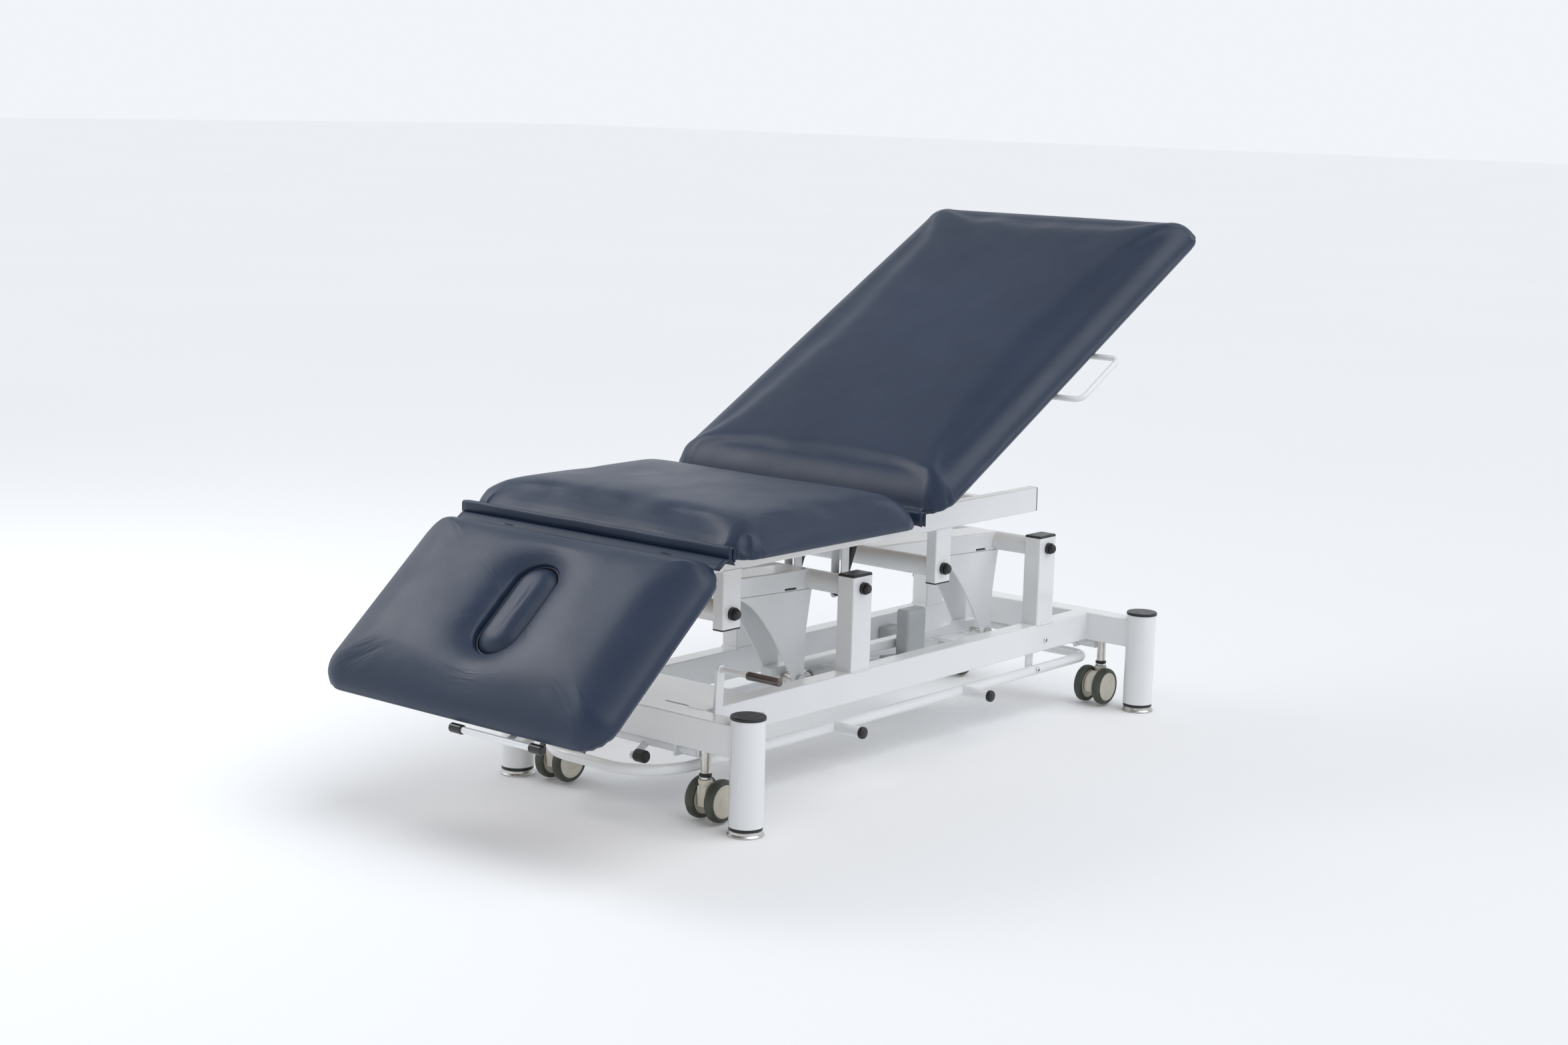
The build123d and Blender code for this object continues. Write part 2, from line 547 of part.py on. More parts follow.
# =====================================================================
# Foot bar round the base
# =====================================================================
side = rod_x(BAR_Y, BAR_Z, BAR_R, -620, 600) - rod_x(BAR_Y, BAR_Z, BAR_R - 2, -621, 601)
save("foot_bar_sides", *both_sides(side))
bow = FilletPolyline(
    (-620, -BAR_Y, BAR_Z), (-762, -BAR_Y, BAR_Z), (-762, BAR_Y, BAR_Z), (-620, BAR_Y, BAR_Z), radius=110)
save("foot_bar_bow_head", swept_tube(bow, BAR_R, 2))
bow = FilletPolyline(
    (600, -BAR_Y, BAR_Z), (655, -BAR_Y, BAR_Z), (655, BAR_Y, BAR_Z), (600, BAR_Y, BAR_Z), radius=40)
save("foot_bar_bow_foot", swept_tube(bow, BAR_R, 2))
pegs = []
for x in (-245.0, 180.0):
    peg = rod_y(x, BAR_Z, BAR_R, -228, -BAR_Y) - rod_x(-BAR_Y, BAR_Z, BAR_R, x - 20, x + 20)
    pegs.append(peg + fillet(rod_y(x, BAR_Z, BAR_R + 1, -234, -226).edges().sort_by(Axis.Y)[0], 3.0))
save("foot_bar_pegs", *pegs)

# =====================================================================
# Caster lift: one cross shaft under each beam, the head one with the hand
# lever and a pedal arm
# =====================================================================
LEVER_TIP = (-606.0, 275.0)
save("caster_shaft_foot", rod_y(LEG_X, SHAFT_Z, SHAFT_R, -178, 178))
shaft = rod_y(-LEG_X, SHAFT_Z, SHAFT_R, -175, 178)
lever = plate_xz(
    [(-662, 122), (-618, 121), (-604, 138), (-596, 275), (-601, 284), (-611, 284), (-616, 275),
     (-624, 148), (-632, 138), (-662, 138)], -181, -175)
grip_rod = rod_y(LEVER_TIP[0], LEVER_TIP[1], 5, -312, -178)
pedal = plate_xz([(-650, 122), (-650, 138), (-690, 114), (-702, 110), (-699, 102), (-690, 101)], -52, -46)
peg = rod_y(-695, 110, 5, -66, -46)
save("caster_lift_lever", shaft + lever + grip_rod + pedal + peg)
grip = fillet(rod_y(LEVER_TIP[0], LEVER_TIP[1], 8, -321, -243).edges(), 4.0)
grip -= rod_y(LEVER_TIP[0], LEVER_TIP[1], 5, -312, -240)
save("caster_lever_grip", grip)
knob = fillet(rod_y(-695, 110, 12, -84, -56).edges(), 5.0) - rod_y(-695, 110, 5, -66, -50)
save("caster_pedal_knob", knob)

# =====================================================================
# Casters
# =====================================================================
AXLE_Z = WHEEL_R + WHEEL_LIFT
stems = []
for sx in (-1, 1):
    for sy in (-1, 1):
        x = sx * LEG_X
        y = sy * STEM_Y
        stem = rod_z(x, y, STEM_R, 84, 184) + rod_z(x, y, 12, 89, 94) + rod_z(x, y, 11, 84, 89)
        stems.append(stem + rod_z(x, y, 5, 58, 84))
save("caster_stems", *stems)


def wheel(x, y, inner, outer):
    disc = rod_y(x, AXLE_Z, WHEEL_R, min(y + inner, y + outer), max(y + inner, y + outer))
    return fillet(disc.edges().filter_by(GeomType.CIRCLE), 5.0)


for tag, sx, sy in (("a", -1, -1), ("b", 1, -1), ("c", -1, 1), ("d", 1, 1)):
    x = sx * LEG_X
    y = sy * STEM_Y
    ax = x - sx * TRAIL
    hub = rod_z(x, y, 12, 45, 83.7)
    hood = rod_y(ax, AXLE_Z, 31, y - 11, y + 11) & block(ax - 40, ax + 40, y - 20, y + 20, 30, 90)
    axle = rod_y(ax, AXLE_Z, 4, y - 30, y + 30)
    fork = hub + hood + axle - rod_z(x, y, 5 + FIT, 56, 90)
    save(f"caster_fork_{tag}", fork)
    wheels = wheel(ax, y, -33, -13) + wheel(ax, y, 13, 33)
    wheels -= rod_y(ax, AXLE_Z, 4 + FIT, y - 31, y + 31)
    save(f"caster_wheels_{tag}", wheels)
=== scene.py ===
from math import atan2, cos, exp, hypot, pi, radians, sin, sqrt, tanh

import bmesh
import bpy
from mathutils import Matrix, Vector, noise


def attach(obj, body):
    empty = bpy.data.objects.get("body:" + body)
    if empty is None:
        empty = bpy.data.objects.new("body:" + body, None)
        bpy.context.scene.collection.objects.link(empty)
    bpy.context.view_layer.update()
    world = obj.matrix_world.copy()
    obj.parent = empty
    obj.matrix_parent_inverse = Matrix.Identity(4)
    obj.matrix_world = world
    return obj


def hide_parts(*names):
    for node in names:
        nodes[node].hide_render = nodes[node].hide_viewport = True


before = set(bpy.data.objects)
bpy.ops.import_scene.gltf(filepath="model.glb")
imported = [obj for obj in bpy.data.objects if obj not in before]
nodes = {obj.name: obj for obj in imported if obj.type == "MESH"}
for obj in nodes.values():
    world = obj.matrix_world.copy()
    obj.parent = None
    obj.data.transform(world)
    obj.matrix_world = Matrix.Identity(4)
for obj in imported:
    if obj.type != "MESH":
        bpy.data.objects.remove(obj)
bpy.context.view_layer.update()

# ---- driving dimensions, metres, in the CAD frame ----
LEG = (0.656, 0.290)
LEG_R = 0.03175
BEAM_HALF = 0.025
RAIL_Z = (0.141, 0.201)
RAIL_Y = (0.126, 0.166)
UPRIGHT_X = (-0.175, 0.465)
HANGER_X = (-0.610, 0.030)
TOP_RAIL_Y = (0.1815, 0.2065)
TOP_RAIL_Z = (0.463, 0.513)
HEAD_HINGE = (-0.765, 0.505)
LONG_HINGE = (-0.180, 0.495)
HEAD_TILT = 41.0
LONG_TILT = 29.0
PAD_HALF_W = 0.350
CORNER_R = 0.062
SEAT_X = (-0.751, -0.222)
SEAT_Z = 0.513
HEAD_X = (-0.426, -0.014)
HEAD_Z = 0.008
LONG_X = (0.016, 1.065)
LONG_Z = 0.023
BOARD_T = 0.006
PLUG_X = (-0.302, -0.097)
PLUG_HALF_W = 0.047
PLUG_Z = HEAD_Z + BOARD_T + 0.001
STEM_Y = 0.192
STEM_R = 0.00925
TRAIL = 0.018
AXLE_Z = 0.043

HEAD = Matrix.Translation((HEAD_HINGE[0], 0, HEAD_HINGE[1])) @ Matrix.Rotation(radians(-HEAD_TILT), 4, "Y")
LONG = Matrix.Translation((LONG_HINGE[0], 0, LONG_HINGE[1])) @ Matrix.Rotation(radians(-LONG_TILT), 4, "Y")
SEAT = Matrix.Identity(4)


# =====================================================================
# Materials
# =====================================================================
def surface(name, low, high, rough, patch=6.0, grain=400.0, height=0.0001, kind="NOISE", stretch=(1, 1, 1), **sockets):
    """Principled material: colour drifts between low and high, roughness over its range, with a fine relief."""
    material = bpy.data.materials.new(name)
    material.use_nodes = True
    tree = material.node_tree
    bsdf = tree.nodes["Principled BSDF"]
    link = tree.links.new
    place = tree.nodes.new("ShaderNodeTexCoord")
    scale = tree.nodes.new("ShaderNodeMapping")
    scale.inputs["Scale"].default_value = stretch
    link(place.outputs["Object"], scale.inputs["Vector"])
    drift = tree.nodes.new("ShaderNodeTexNoise")
    drift.inputs["Scale"].default_value = patch
    drift.inputs["Detail"].default_value = 5.0
    link(scale.outputs["Vector"], drift.inputs["Vector"])
    ramp = tree.nodes.new("ShaderNodeValToRGB")
    ramp.color_ramp.elements[0].position = 0.36
    ramp.color_ramp.elements[1].position = 0.66
    ramp.color_ramp.elements[0].color = (*low, 1)
    ramp.color_ramp.elements[1].color = (*high, 1)
    link(drift.outputs["Fac"], ramp.inputs["Fac"])
    link(ramp.outputs["Color"], bsdf.inputs["Base Color"])
    spread = tree.nodes.new("ShaderNodeMapRange")
    spread.inputs["From Min"].default_value = 0.3
    spread.inputs["From Max"].default_value = 0.7
    spread.inputs["To Min"].default_value = rough[0]
    spread.inputs["To Max"].default_value = rough[1]
    smear = tree.nodes.new("ShaderNodeTexNoise")
    smear.inputs["Scale"].default_value = patch * 3.7
    smear.inputs["Detail"].default_value = 3.0
    link(scale.outputs["Vector"], smear.inputs["Vector"])
    link(smear.outputs["Fac"], spread.inputs["Value"])
    link(spread.outputs["Result"], bsdf.inputs["Roughness"])
    if kind == "VORONOI":
        relief = tree.nodes.new("ShaderNodeTexVoronoi")
        out = relief.outputs["Distance"]
    else:
        relief = tree.nodes.new("ShaderNodeTexNoise")
        relief.inputs["Detail"].default_value = 2.0
        out = relief.outputs["Fac"]
    relief.inputs["Scale"].default_value = grain
    link(scale.outputs["Vector"], relief.inputs["Vector"])
    bump = tree.nodes.new("ShaderNodeBump")
    bump.inputs["Distance"].default_value = height
    bump.inputs["Strength"].default_value = 1.0
    link(out, bump.inputs["Height"])
    link(bump.outputs["Normal"], bsdf.inputs["Normal"])
    for socket, value in sockets.items():
        bsdf.inputs[socket.replace("_", " ")].default_value = value
    return material


VINYL = surface("vinyl", (0.013, 0.025, 0.053), (0.017, 0.031, 0.065), (0.36, 0.44), patch=3.0, grain=850.0,
                height=0.00016, kind="VORONOI", Specular_IOR_Level=0.42)
LINING = surface("vinyl_dark", (0.010, 0.013, 0.020), (0.020, 0.026, 0.038), (0.34, 0.5), patch=20.0, grain=900.0,
                 height=0.00012, kind="VORONOI")
WHITE = surface("white_paint", (0.76, 0.775, 0.785), (0.80, 0.81, 0.82), (0.16, 0.26), patch=2.5, grain=260.0,
                height=0.00006, Coat_Weight=0.35, Coat_Roughness=0.12)
BLACK = surface("black_plastic", (0.008, 0.008, 0.009), (0.016, 0.016, 0.018), (0.30, 0.45), patch=30.0, grain=900.0,
                height=0.00005)
GLOSS_BLACK = surface("grip_vinyl", (0.006, 0.006, 0.007), (0.011, 0.011, 0.012), (0.20, 0.30), patch=25.0, grain=300.0,
                      height=0.00004, Coat_Weight=0.15, Coat_Roughness=0.10)
GRIP = surface("grip_plastic", (0.055, 0.040, 0.038), (0.105, 0.078, 0.072), (0.12, 0.22), patch=40.0, grain=300.0,
               height=0.00004, stretch=(1, 0.2, 1), Coat_Weight=0.8, Coat_Roughness=0.06)
STEEL = surface("brushed_steel", (0.50, 0.50, 0.49), (0.66, 0.65, 0.63), (0.22, 0.36), patch=30.0, grain=900.0,
                height=0.00004, stretch=(1, 1, 0.1), Metallic=1.0)
CHROME = surface("chrome", (0.40, 0.37, 0.33), (0.78, 0.76, 0.73), (0.10, 0.30), patch=45.0, grain=600.0,
                 height=0.00003, stretch=(1, 1, 0.35), Metallic=1.0)
ZINC = surface("zinc", (0.60, 0.62, 0.63), (0.75, 0.77, 0.78), (0.20, 0.34), patch=60.0, grain=500.0,
               height=0.00004, Metallic=1.0)
IVORY = surface("ivory_plastic", (0.60, 0.56, 0.47), (0.67, 0.63, 0.54), (0.28, 0.40), patch=25.0, grain=700.0,
                height=0.00005, Subsurface_Weight=0.05, Subsurface_Radius=(0.004, 0.003, 0.002))
TYRE = surface("tyre_rubber", (0.038, 0.044, 0.032), (0.060, 0.068, 0.050), (0.42, 0.58), patch=35.0, grain=700.0,
               height=0.00010)
GREY = surface("grey_plastic", (0.40, 0.42, 0.43), (0.45, 0.47, 0.48), (0.32, 0.44), patch=20.0, grain=800.0,
               height=0.00008)
WOOD = surface("plywood", (0.30, 0.19, 0.10), (0.46, 0.32, 0.19), (0.55, 0.70), patch=9.0, grain=220.0,
               height=0.00020, stretch=(0.15, 1, 1))

NODE_FINISH = {
    WHITE: ["leg_posts", "base_beams", "base_rails", "uprights", "head_cover_plate", "actuator_bracket",
            "lift_arm_head", "lift_arm_foot", "link_bar", "upper_rails", "hangers", "upper_cross_members",
            "head_frame", "long_frame", "head_release", "long_release", "foot_bar_sides", "foot_bar_bow_head",
            "foot_bar_bow_foot", "foot_bar_pegs", "caster_lift_lever", "caster_shaft_foot"],
    BLACK: ["leg_rings", "base_tube_caps", "base_pivot_bolts", "upper_end_caps", "upper_pivot_bolts",
            "caster_pedal_knob", "long_strut_tube_near", "long_strut_tube_far", "head_strut_tube"],
    GREY: ["control_box", "actuator_motor", "actuator_tube"],
    STEEL: ["leg_glides", "lever_pin_head", "lever_pin_foot"],
    CHROME: ["actuator_rod", "long_strut_rod_near", "long_strut_rod_far", "head_strut_rod", "caster_stems"],
    GLOSS_BLACK: ["head_release_grips"],
    GRIP: ["caster_lever_grip"],
    WOOD: ["seat_board", "head_board", "long_board"],
    VINYL: ["seat_pad", "head_pad", "long_pad", "face_plug", "gap_strips"],
    IVORY: [f"caster_fork_{tag}" for tag in "abcd"],
    TYRE: [f"caster_wheels_{tag}" for tag in "abcd"],
}
for finish, names in NODE_FINISH.items():
    for node in names:
        mesh = nodes[node].data
        if not mesh.materials:
            mesh.materials.append(finish)
        for index in range(len(mesh.materials)):
            mesh.materials[index] = finish


# =====================================================================
# Mesh helpers
# =====================================================================
def piece(name, verts, faces, material, body, slot, place=None, smooth=True):
    """Makes a mesh object, puts it in place and makes it ride on a body."""
    mesh = bpy.data.meshes.new(name)
    mesh.from_pydata([tuple(v) for v in verts], [], faces)
    mesh.validate()
    if place is not None:
        mesh.transform(place)
    mesh.materials.append(material)
    for polygon in mesh.polygons:
        polygon.use_smooth = smooth
    thing = bpy.data.objects.new(name, mesh)
    bpy.context.scene.collection.objects.link(thing)
    if body:
        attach(thing, body)
    return thing


def outward(thing):
    """Turns the faces of a closed mesh to face out."""
    work = bmesh.new()
    work.from_mesh(thing.data)
    bmesh.ops.recalc_face_normals(work, faces=work.faces)
    work.to_mesh(thing.data)
    work.free()
    return thing


def tube(path, radius, sides=10, closed=False, ripple=0.0, pitch=0.004):
    """Verts and faces of a round bar along a path; ripple gives it the scales of a weld bead."""
    points = [Vector(p) for p in path]
    count = len(points)
    verts = []
    faces = []
    travelled = 0.0
    normal = None
    for i, point in enumerate(points):
        before = points[i - 1] if (i or closed) else point
        after = points[(i + 1) % count] if (i < count - 1 or closed) else point
        along = (after - before).normalized()
        if normal is None:
            normal = along.orthogonal().normalized()
        normal = (normal - along * normal.dot(along)).normalized()
        side = along.cross(normal)
        travelled += (point - before).length if i else 0.0
        size = radius * (1 + ripple * sin(2 * pi * travelled / pitch))
        for k in range(sides):
            angle = 2 * pi * k / sides
            verts.append(point + normal * (size * cos(angle)) + side * (size * sin(angle)))
    for i in range(count if closed else count - 1):
        a = i * sides
        b = ((i + 1) % count) * sides
        for k in range(sides):
            n = (k + 1) % sides
            faces.append((a + k, b + k, b + n, a + n))
    if not closed:
        faces.append(tuple(range(sides)))
        faces.append(tuple(reversed(range((count - 1) * sides, count * sides))))
    return verts, faces


def lathe(profile, centre, axis="Z", sides=48):
    """Turned shape: profile is (radius, distance along the axis) from one end to the other."""
    verts = []
    faces = []
    for radius, along in profile:
        for k in range(sides):
            angle = 2 * pi * k / sides
            a = radius * cos(angle)
            b = radius * sin(angle)
            offset = {"X": (along, a, b), "Y": (b, along, a), "Z": (a, b, along)}[axis]
            verts.append(Vector(centre) + Vector(offset))
    rows = len(profile)
    for i in range(rows - 1):
        for k in range(sides):
            n = (k + 1) % sides
            faces.append((i * sides + k, i * sides + n, (i + 1) * sides + n, (i + 1) * sides + k))
    faces.append(tuple(reversed(range(sides))))
    faces.append(tuple(range((rows - 1) * sides, rows * sides)))
    return verts, faces


def merged(parts):
    """Joins several (verts, faces) pairs."""
    verts = []
    faces = []
    for part_verts, part_faces in parts:
        shift = len(verts)
        verts += part_verts
        faces += [tuple(i + shift for i in face) for face in part_faces]
    return verts, faces


def slab(outline, y0, y1, edge):
    """Plate with its outline in XZ, between y0 and y1, with a chamfered edge."""
    centre = Vector((sum(p[0] for p in outline) / len(outline), 0, sum(p[1] for p in outline) / len(outline)))
    verts = []
    for y, inset in ((y0, edge), (y0 + edge, 0.0), (y1 - edge, 0.0), (y1, edge)):
        for x, z in outline:
            point = Vector((x, 0, z))
            point -= (point - centre).normalized() * inset
            verts.append(Vector((point.x, y, point.z)))
    count = len(outline)
    faces = [tuple(range(count)), tuple(reversed(range(3 * count, 4 * count)))]
    for row in range(3):
        for k in range(count):
            n = (k + 1) % count
            faces.append((row * count + k, (row + 1) * count + k, (row + 1) * count + n, row * count + n))
    return verts, faces


def arc(cx, cz, radius, start, end, count):
    """Points on an arc in XZ, angles in degrees from +X towards +Z."""
    steps = [radians(start + (end - start) * i / (count - 1)) for i in range(count)]
    return [(cx + radius * cos(a), cz + radius * sin(a)) for a in steps]


# =====================================================================
# Cushions
# =====================================================================
class Cushion:
    """A pad with a rounded-rectangle plan, built as a grid whose rim runs down the sides and under."""

    ARC = 14

    def __init__(self, span, half_w, radius, z0, cell=0.015):
        self.x0, self.x1 = span
        self.half_w = half_w
        self.radius = radius
        self.z0 = z0
        self.tight = 0.0
        self.xs = self.steps(self.x0, self.x1, cell)
        self.ys = self.steps(-half_w, half_w, cell)
        self.verts = []
        self.faces = []

    def steps(self, low, high, cell):
        """Positions along one side as (zone, share): 0 and 2 are the corner zones, 1 the straight run."""
        run = high - low - 2 * self.radius
        middle = max(0, round(run / cell) - 1)
        ramp = [i / self.ARC for i in range(self.ARC + 1)]
        inner = [(1, (i + 1) / (middle + 1)) for i in range(middle)]
        if run < 1e-6:
            return [(0, t) for t in ramp] + [(2, t) for t in ramp[1:]]
        return [(0, t) for t in ramp] + inner + [(2, t) for t in ramp]

    def point(self, i, j, inset):
        """Plan position of grid point (i, j) for an outline moved in by inset."""
        r = self.radius - inset
        place = []
        for (zone, share), low, high in ((self.xs[i], self.x0, self.x1), (self.ys[j], -self.half_w, self.half_w)):
            if zone == 0:
                place.append((low + self.radius, -1, 1 - share))
            elif zone == 2:
                place.append((high - self.radius, 1, share))
            else:
                place.append((low + self.radius + (high - low - 2 * self.radius) * share, 0, 0.0))
        (cx, sx, a), (cy, sy, b) = place
        return cx + sx * r * a * sqrt(1 - b * b / 2), cy + sy * r * b * sqrt(1 - a * a / 2)

    def rim(self):
        """Grid indices round the edge, in order."""
        nx = len(self.xs) - 1
        ny = len(self.ys) - 1
        loop = [(i, 0) for i in range(nx)] + [(nx, j) for j in range(ny)]
        return loop + [(i, ny) for i in range(nx, 0, -1)] + [(0, j) for j in range(ny, 0, -1)]

    def edge_depth(self, x, y):
        """Depth that shapes the rolled edge; the hinge end (+X) rolls over in a shorter distance."""
        if not self.tight:
            return self.depth(x, y)
        return min(self.depth(x, y, 0.2), self.depth(x, y) * self.tight)

    def depth(self, x, y, beyond=0.0):
        """How far a plan point is inside the outline, its +X end moved out by beyond."""
        far = self.x1 + beyond
        qx = abs(x - (self.x0 + far) / 2) - (far - self.x0) / 2 + self.radius
        qy = abs(y) - self.half_w + self.radius
        outside = hypot(max(qx, 0), max(qy, 0)) + min(max(qx, qy), 0)
        return self.radius - outside

    def grid(self, inset, height, rim_index=None, flip=False):
        """Adds a whole grid; its rim is shared with the ring whose vertex numbers are given."""
        nx = len(self.xs)
        ny = len(self.ys)
        known = dict(zip(self.rim(), rim_index)) if rim_index else {}
        number = {}
        for i in range(nx):
            for j in range(ny):
                if (i, j) in known:
                    number[i, j] = known[i, j]
                    continue
                x, y = self.point(i, j, inset)
                number[i, j] = len(self.verts)
                self.verts.append(Vector((x, y, height(x, y))))
        for i in range(nx - 1):
            for j in range(ny - 1):
                face = (number[i, j], number[i + 1, j], number[i + 1, j + 1], number[i, j + 1])
                self.faces.append(tuple(reversed(face)) if flip else face)
        return [number[key] for key in self.rim()]

    def ring(self, inset, z):
        """Adds one ring of the rim at an inset and height."""
        first = len(self.verts)
        for i, j in self.rim():
            x, y = self.point(i, j, inset)
            self.verts.append(Vector((x, y, z)))
        return list(range(first, len(self.verts)))

    def bridge(self, upper, lower):
        count = len(upper)
        for k in range(count):
            n = (k + 1) % count
            self.faces.append((upper[k], lower[k], lower[n], upper[n]))

    def sides(self, rim, roll, drop, flange):
        """Rings from the edge of the top over the rolled edge, down the side, and under to the board."""
        z_top = self.z0 + drop
        path = []
        for angle in (ROLL_START + 7, ROLL_START + 14, ROLL_START + 21, 89):
            a = radians(angle)
            path.append((roll[0] * (1 - sin(a)), z_top - roll[1] * (1 - cos(a))))
        low = self.z0 + 0.007
        z_last = path[-1][1]
        for share in (0.2, 0.4, 0.6, 0.8, 1.0):
            bulge = 0.0016 * sin(pi * share)
            path.append((-bulge + 0.0008 * share, z_last + (low - z_last) * share))
        path += [(0.0018, self.z0 + 0.003), (0.0052, self.z0 + 0.0004), (0.010, self.z0), (0.016, self.z0)]
        path += [(flange, self.z0), (flange + 0.0008, self.z0 + BOARD_T + LINER)]
        for inset, z in path:
            ring = self.ring(inset, z)
            self.bridge(rim, ring)
            rim = ring
        return rim, path[-1][0]


ROLL_START = 60.0


def roll_drop(depth, roll):
    """How far the top has fallen at a distance in from the outline; roll is the edge's (width, fall)."""
    if depth >= roll[0]:
        return 0.0
    share = min((roll[0] - depth) / roll[0], 1.0)
    return roll[1] * (1 - sqrt(1 - share * share))


def rim_inset(roll):
    """Where the top's grid stops and the rings down the side begin."""
    return roll[0] * (1 - sin(radians(ROLL_START)))


def crown(cushion, x, y, height):
    """Swell of a stuffed top: full in the middle and nothing at the outline."""
    share = min(max(cushion.depth(x, y), 0) / (min(cushion.x1 - cushion.x0, 2 * cushion.half_w) / 2), 1)
    return height * (1 - (1 - share) ** 2.4)


def ripples(point, amount):
    """Faint tension wrinkles in a stretched cover."""
    p = Vector((point.x * 9, point.y * 16, point.z * 9))
    return amount * noise.fractal(p, 0.8, 2.1, 3)


def capsule_depth(x, y, span, half_w):
    """Distance outside a stadium outline lying along X."""
    cx = min(max(x, span[0] + half_w), span[1] - half_w)
    return hypot(x - cx, y) - half_w


def capsule_ray(direction, span, half_w):
    """Where a ray from the stadium's centre crosses its outline."""
    centre = (span[0] + span[1]) / 2
    low = 0.0
    high = 1.0
    for _ in range(40):
        middle = (low + high) / 2
        if capsule_depth(centre + direction[0] * middle, direction[1] * middle, span, half_w) < 0:
            low = middle
        else:
            high = middle
    return centre + direction[0] * low, direction[1] * low


def lean(verts, end, reach, amount, z0, height=0.06):
    """Leans one end of a cushion back with height, as its CAD solid does."""
    for v in verts:
        share = 1 - min(abs(v.x - end) / reach, 1)
        v.x += amount * share * share * (3 - 2 * share) * (v.z - z0) / height


FLANGE = 0.0205
LINER = 0.0006


def plain_pad(span, z0, edge, swell, roll, wrinkle):
    """Cushion with an unbroken top."""
    body = Cushion(span, PAD_HALF_W, CORNER_R, z0)

    def top(x, y):
        z = z0 + edge - roll_drop(body.depth(x, y), roll) + crown(body, x, y, swell)
        return z + ripples(Vector((x, y, 0)), wrinkle) * min(body.depth(x, y) / 0.08, 1)

    rim = body.grid(rim_inset(roll), top)
    last, inset = body.sides(rim, roll, edge, FLANGE)
    body.grid(inset, lambda x, y: z0 + BOARD_T + LINER, last, flip=True)
    return body


def holed_pad(span, z0, edge, swell, roll, hole, hole_half):
    """Cushion with a stadium opening that goes right through."""
    body = Cushion(span, PAD_HALF_W, CORNER_R, z0)
    body.tight = 2.6
    lip = 0.010
    centre = (hole[0] + hole[1]) / 2

    def top(x, y):
        return z0 + edge - roll_drop(body.edge_depth(x, y), roll) + crown(body, x, y, swell)

    def loft(inset, offset, height, count, rim_index, flip):
        outer = [body.point(i, j, inset) for i, j in body.rim()]
        wide = (hole[0] - offset, hole[1] + offset)
        inner = []
        for x, y in outer:
            size = hypot(x - centre, y)
            inner.append(capsule_ray(((x - centre) / size, y / size), wide, hole_half + offset))
        previous = rim_index
        for step in range(1, count + 1):
            share = step / count
            share = share + 0.08 * sin(2 * pi * share)
            ring = []
            for (ox, oy), (ix, iy) in zip(outer, inner):
                x = ox + (ix - ox) * share
                y = oy + (iy - oy) * share
                ring.append(len(body.verts))
                body.verts.append(Vector((x, y, height(x, y))))
            if flip:
                body.bridge(previous, ring)
            else:
                body.bridge(ring, previous)
            previous = ring
        return previous, inner

    first = rim_inset(roll)
    start = len(body.verts)
    for i, j in body.rim():
        x, y = body.point(i, j, first)
        body.verts.append(Vector((x, y, top(x, y))))
    rim = list(range(start, len(body.verts)))
    lip_ring, inner = loft(first, lip * 0.30, top, 34, rim, False)
    last, inset = body.sides(rim, roll, edge, FLANGE)
    base = z0 + BOARD_T + LINER
    under, _ = loft(inset, 0.001, lambda x, y: base, 12, last, True)
    wall_top = min(body.verts[k].z for k in lip_ring)
    previous = lip_ring
    for offset, drop in ((0.0022, 0.0035), (0.0014, 0.008), (0.0010, 0.016), (0.0008, 0.026)):
        ring = []
        wide = (hole[0] - offset, hole[1] + offset)
        for x, y in inner:
            size = hypot(x - centre, y)
            px, py = capsule_ray(((x - centre) / size, y / size), wide, hole_half + offset)
            ring.append(len(body.verts))
            body.verts.append(Vector((px, py, wall_top - drop)))
        body.bridge(ring, previous)
        previous = ring
    body.bridge(under, previous)
    return body


def sink(thing, z0, height, hole, hole_half, dish):
    """Pulls the top down round the opening, where the cover is drawn into it."""
    for vertex in thing.data.vertices:
        away = max(capsule_depth(vertex.co.x, vertex.co.y, hole, hole_half), 0.0)
        share = min(max((vertex.co.z - z0 - BOARD_T) / height, 0.0), 1.0)
        fall = 0.55 * exp(-(away / 0.022) ** 1.3) + 0.45 * exp(-(away / 0.062) ** 2)
        vertex.co.z -= dish * fall * share


def plug_pad(span, half_w, z0, edge, swell, roll):
    """Small cushion with rounded ends that fills the opening."""
    body = Cushion(span, half_w, half_w, z0)

    def top(x, y):
        return z0 + edge - roll_drop(body.depth(x, y), roll) + crown(body, x, y, swell)

    rim = body.grid(rim_inset(roll), top)
    for inset, z in ((roll[0] * 0.04, z0 + edge - roll[1] * 0.72), (0.0002, z0 + edge - roll[1]), (0.0002, z0 + 0.012),
                     (0.0010, z0 + 0.004), (0.004, z0 + 0.0004)):
        ring = body.ring(inset, z)
        body.bridge(rim, ring)
        rim = ring
    body.grid(0.006, lambda x, y: z0, rim, flip=True)
    return body


